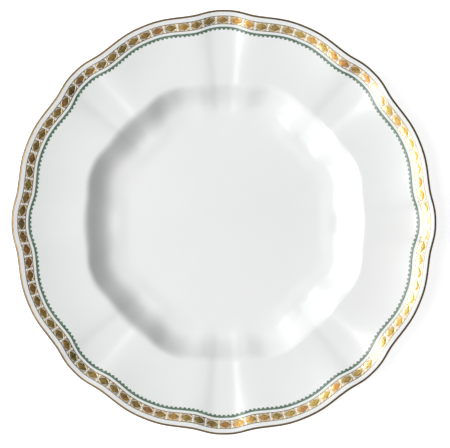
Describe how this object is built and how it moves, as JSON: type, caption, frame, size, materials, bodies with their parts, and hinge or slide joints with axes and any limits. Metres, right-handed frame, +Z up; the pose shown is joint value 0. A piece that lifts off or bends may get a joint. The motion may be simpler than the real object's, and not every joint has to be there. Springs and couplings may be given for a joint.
{
  "type": "dinner plate",
  "caption": "Round china dinner plate with a fluted, scalloped rim, a gilt lozenge border between thin gold lines and a green dentil line.",
  "frame": {"origin": "centre of the foot ring, on the surface the plate stands on", "axes": "+Z up through the plate's axis, out of the face it is eaten from; +X along the middle of one of the eight flutes"},
  "size_m": [0.2702, 0.2702, 0.0253],
  "materials": {
    "biscuit": "matte",
    "clear_glaze_face": "gloss",
    "clear_glaze_back": "gloss",
    "clear_glaze_recess": "gloss",
    "edge_gold": "burnished",
    "line_gold": "satin",
    "lozenge_gold": "burnished",
    "trellis_gold": "satin",
    "green_enamel": "gloss"
  },
  "bodies": {
    "root": {"porcelain_body": "biscuit", "face_glaze": "clear_glaze_face", "back_glaze": "clear_glaze_back", "recess_glaze": "clear_glaze_recess", "edge_gilding": "edge_gold", "outer_gilt_line": "line_gold", "inner_gilt_line": "line_gold", "gilt_lozenges": "lozenge_gold", "gilt_trellis": "trellis_gold", "gilt_frames": "trellis_gold", "green_enamel_line": "green_enamel", "green_enamel_dentils": "green_enamel"}
  },
  "joints": []
}
